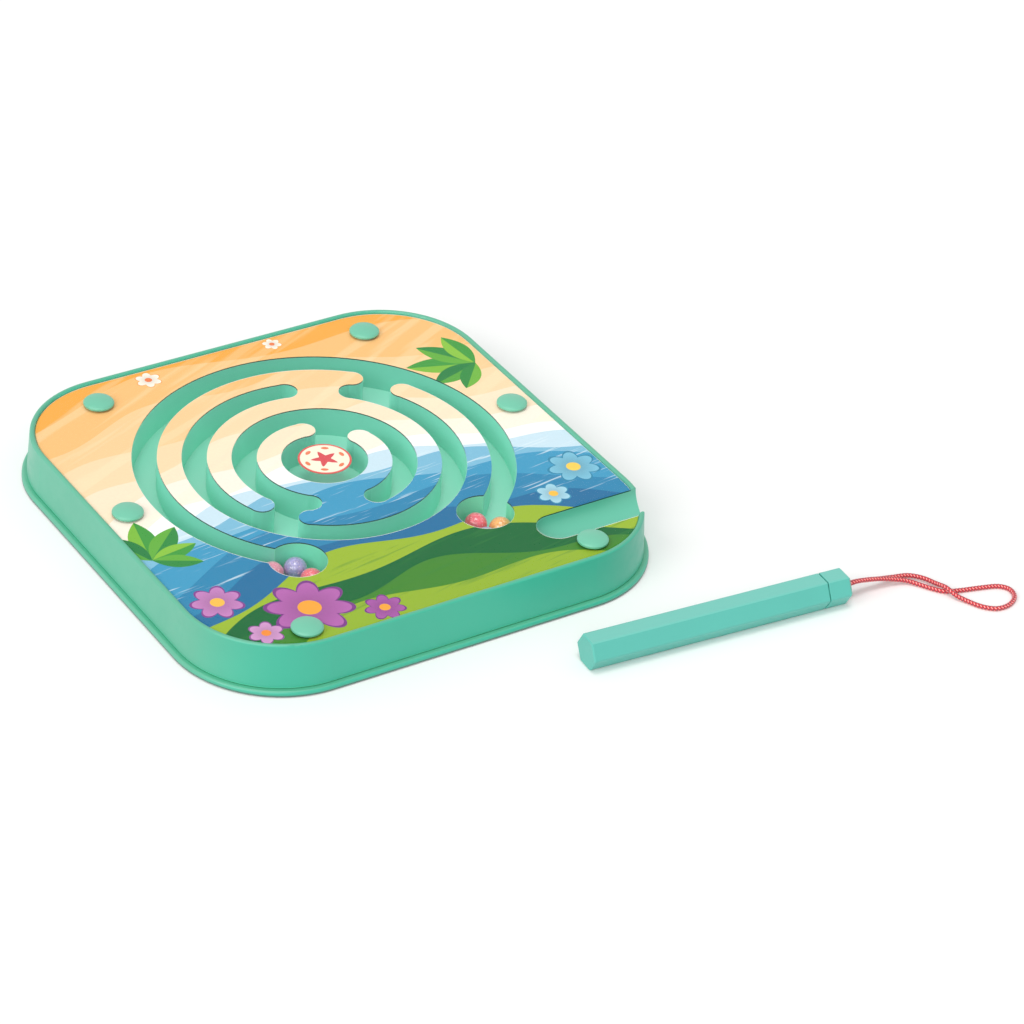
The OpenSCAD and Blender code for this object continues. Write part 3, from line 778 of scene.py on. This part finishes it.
class MAZE_OT_goal(bpy.types.Operator):
    """Makes the round picture that hangs under the cover, over the goal"""
    bl_idname = "maze.goal"
    bl_label = "Goal card"

    def execute(self, context):
        lo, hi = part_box("goal_disc")
        mid = (lo + hi) / 2
        bm = bmesh.new()
        # Hangs a hair under the cover, with its cut edge rounded over
        bmesh.ops.create_circle(bm, cap_ends=True, segments=96, radius=(hi.x - lo.x) / 2)
        disc = bmesh.ops.extrude_face_region(bm, geom=bm.faces[:])
        rise = [v for v in disc["geom"] if isinstance(v, bmesh.types.BMVert)]
        bmesh.ops.translate(bm, verts=rise, vec=(0, 0, hi.z - lo.z - LABEL_GAP))
        bmesh.ops.translate(bm, verts=bm.verts, vec=(mid.x, mid.y, lo.z))
        bmesh.ops.recalc_face_normals(bm, faces=bm.faces)
        rims = [e for e in bm.edges if abs(e.verts[0].co.z - e.verts[1].co.z) < 1e-7]
        bmesh.ops.bevel(bm, geom=rims, offset=LABEL_ROUND, offset_type="OFFSET", segments=2,
                        profile=0.5, affect="EDGES", material=-1)
        label = new_piece("goal_label", bm)
        label.data.materials.append(goal_card())
        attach(label, "board")
        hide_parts("goal_disc")
        return {"FINISHED"}


class MAZE_OT_balls(bpy.types.Operator):
    """Lacquers the balls"""
    bl_idname = "maze.balls"
    bl_label = "Balls"

    def execute(self, context):
        inks = context.scene.maze_colours
        for key, names in (("lilac", ["ball_a_lilac", "ball_b_lilac"]),
                           ("red", ["ball_a_red", "ball_b_red"]),
                           ("pink", ["ball_run"]), ("orange", ["ball_b_orange"])):
            dress(names, pearl_lacquer("pearl_lacquer_" + key, getattr(inks, key)))
        return {"FINISHED"}


class MAZE_OT_pen(bpy.types.Operator):
    """Finishes the pen's barrel, cap and magnet"""
    bl_idname = "maze.pen"
    bl_label = "Pen"

    def execute(self, context):
        inks = context.scene.maze_colours
        dress(["pen_barrel", "pen_cap"],
              moulded_abs("moulded_abs_pen", inks.pen, 0.36, inks.pen_top_light))
        dress(["pen_magnet"], sintered_ferrite())
        return {"FINISHED"}


class MAZE_OT_screws(bpy.types.Operator):
    """Plates the screws under the base"""
    bl_idname = "maze.screws"
    bl_label = "Screws"

    def execute(self, context):
        dress(SCREWS, zinc_plate())
        return {"FINISHED"}


class MAZE_OT_stage(bpy.types.Operator):
    """Lays the pale floor and sets the studio light"""
    bl_idname = "maze.stage"
    bl_label = "Floor and light"

    def execute(self, context):
        scene = context.scene
        scene.view_settings.view_transform = "Standard"
        bm = bmesh.new()
        bmesh.ops.create_grid(bm, x_segments=1, y_segments=1, size=FLOOR_HALF)
        bmesh.ops.translate(bm, verts=bm.verts, vec=(0, 0, -FLOOR_GAP))
        floor = new_piece("floor", bm)
        floor.data.materials.append(matte_paper())
        scene.world = white_studio()
        for name, power, spread, way in LAMPS:
            lamp = bpy.data.lights.new(name, "SUN")
            lamp.energy = power
            lamp.angle = math.radians(spread)
            aim(new_object(name, lamp), way)
        return {"FINISHED"}


STEPS = [
    MAZE_OT_camera, MAZE_OT_cord, MAZE_OT_shells, MAZE_OT_print_sheet, MAZE_OT_cover,
    MAZE_OT_goal, MAZE_OT_balls, MAZE_OT_pen, MAZE_OT_screws, MAZE_OT_stage,
]


class MAZE_PT_panel(bpy.types.Panel):
    """Steps and settings of the ball maze"""
    bl_idname = "MAZE_PT_panel"
    bl_label = "Ball maze"
    bl_space_type = "VIEW_3D"
    bl_region_type = "UI"
    bl_category = "Ball maze"

    def draw(self, context):
        for step in STEPS:
            self.layout.operator(step.bl_idname)
        for group in (context.scene.maze_sizes, context.scene.maze_colours):
            for name in group.bl_rna.properties.keys():
                if name not in ("rna_type", "name"):
                    self.layout.prop(group, name)


CLASSES = [MazeSizes, MazeColours, *STEPS, MAZE_PT_panel]


def register():
    """Registers the classes and their settings."""
    for cls in CLASSES:
        bpy.utils.register_class(cls)
    bpy.types.Scene.maze_sizes = PointerProperty(type=MazeSizes)
    bpy.types.Scene.maze_colours = PointerProperty(type=MazeColours)


def unregister():
    """Takes the settings and the classes away again."""
    del bpy.types.Scene.maze_colours
    del bpy.types.Scene.maze_sizes
    for cls in reversed(CLASSES):
        bpy.utils.unregister_class(cls)


def main():
    """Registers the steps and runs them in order."""
    register()
    for step in STEPS:
        group, name = step.bl_idname.split(".")
        getattr(getattr(bpy.ops, group), name)()


if __name__ == "__main__":
    main()
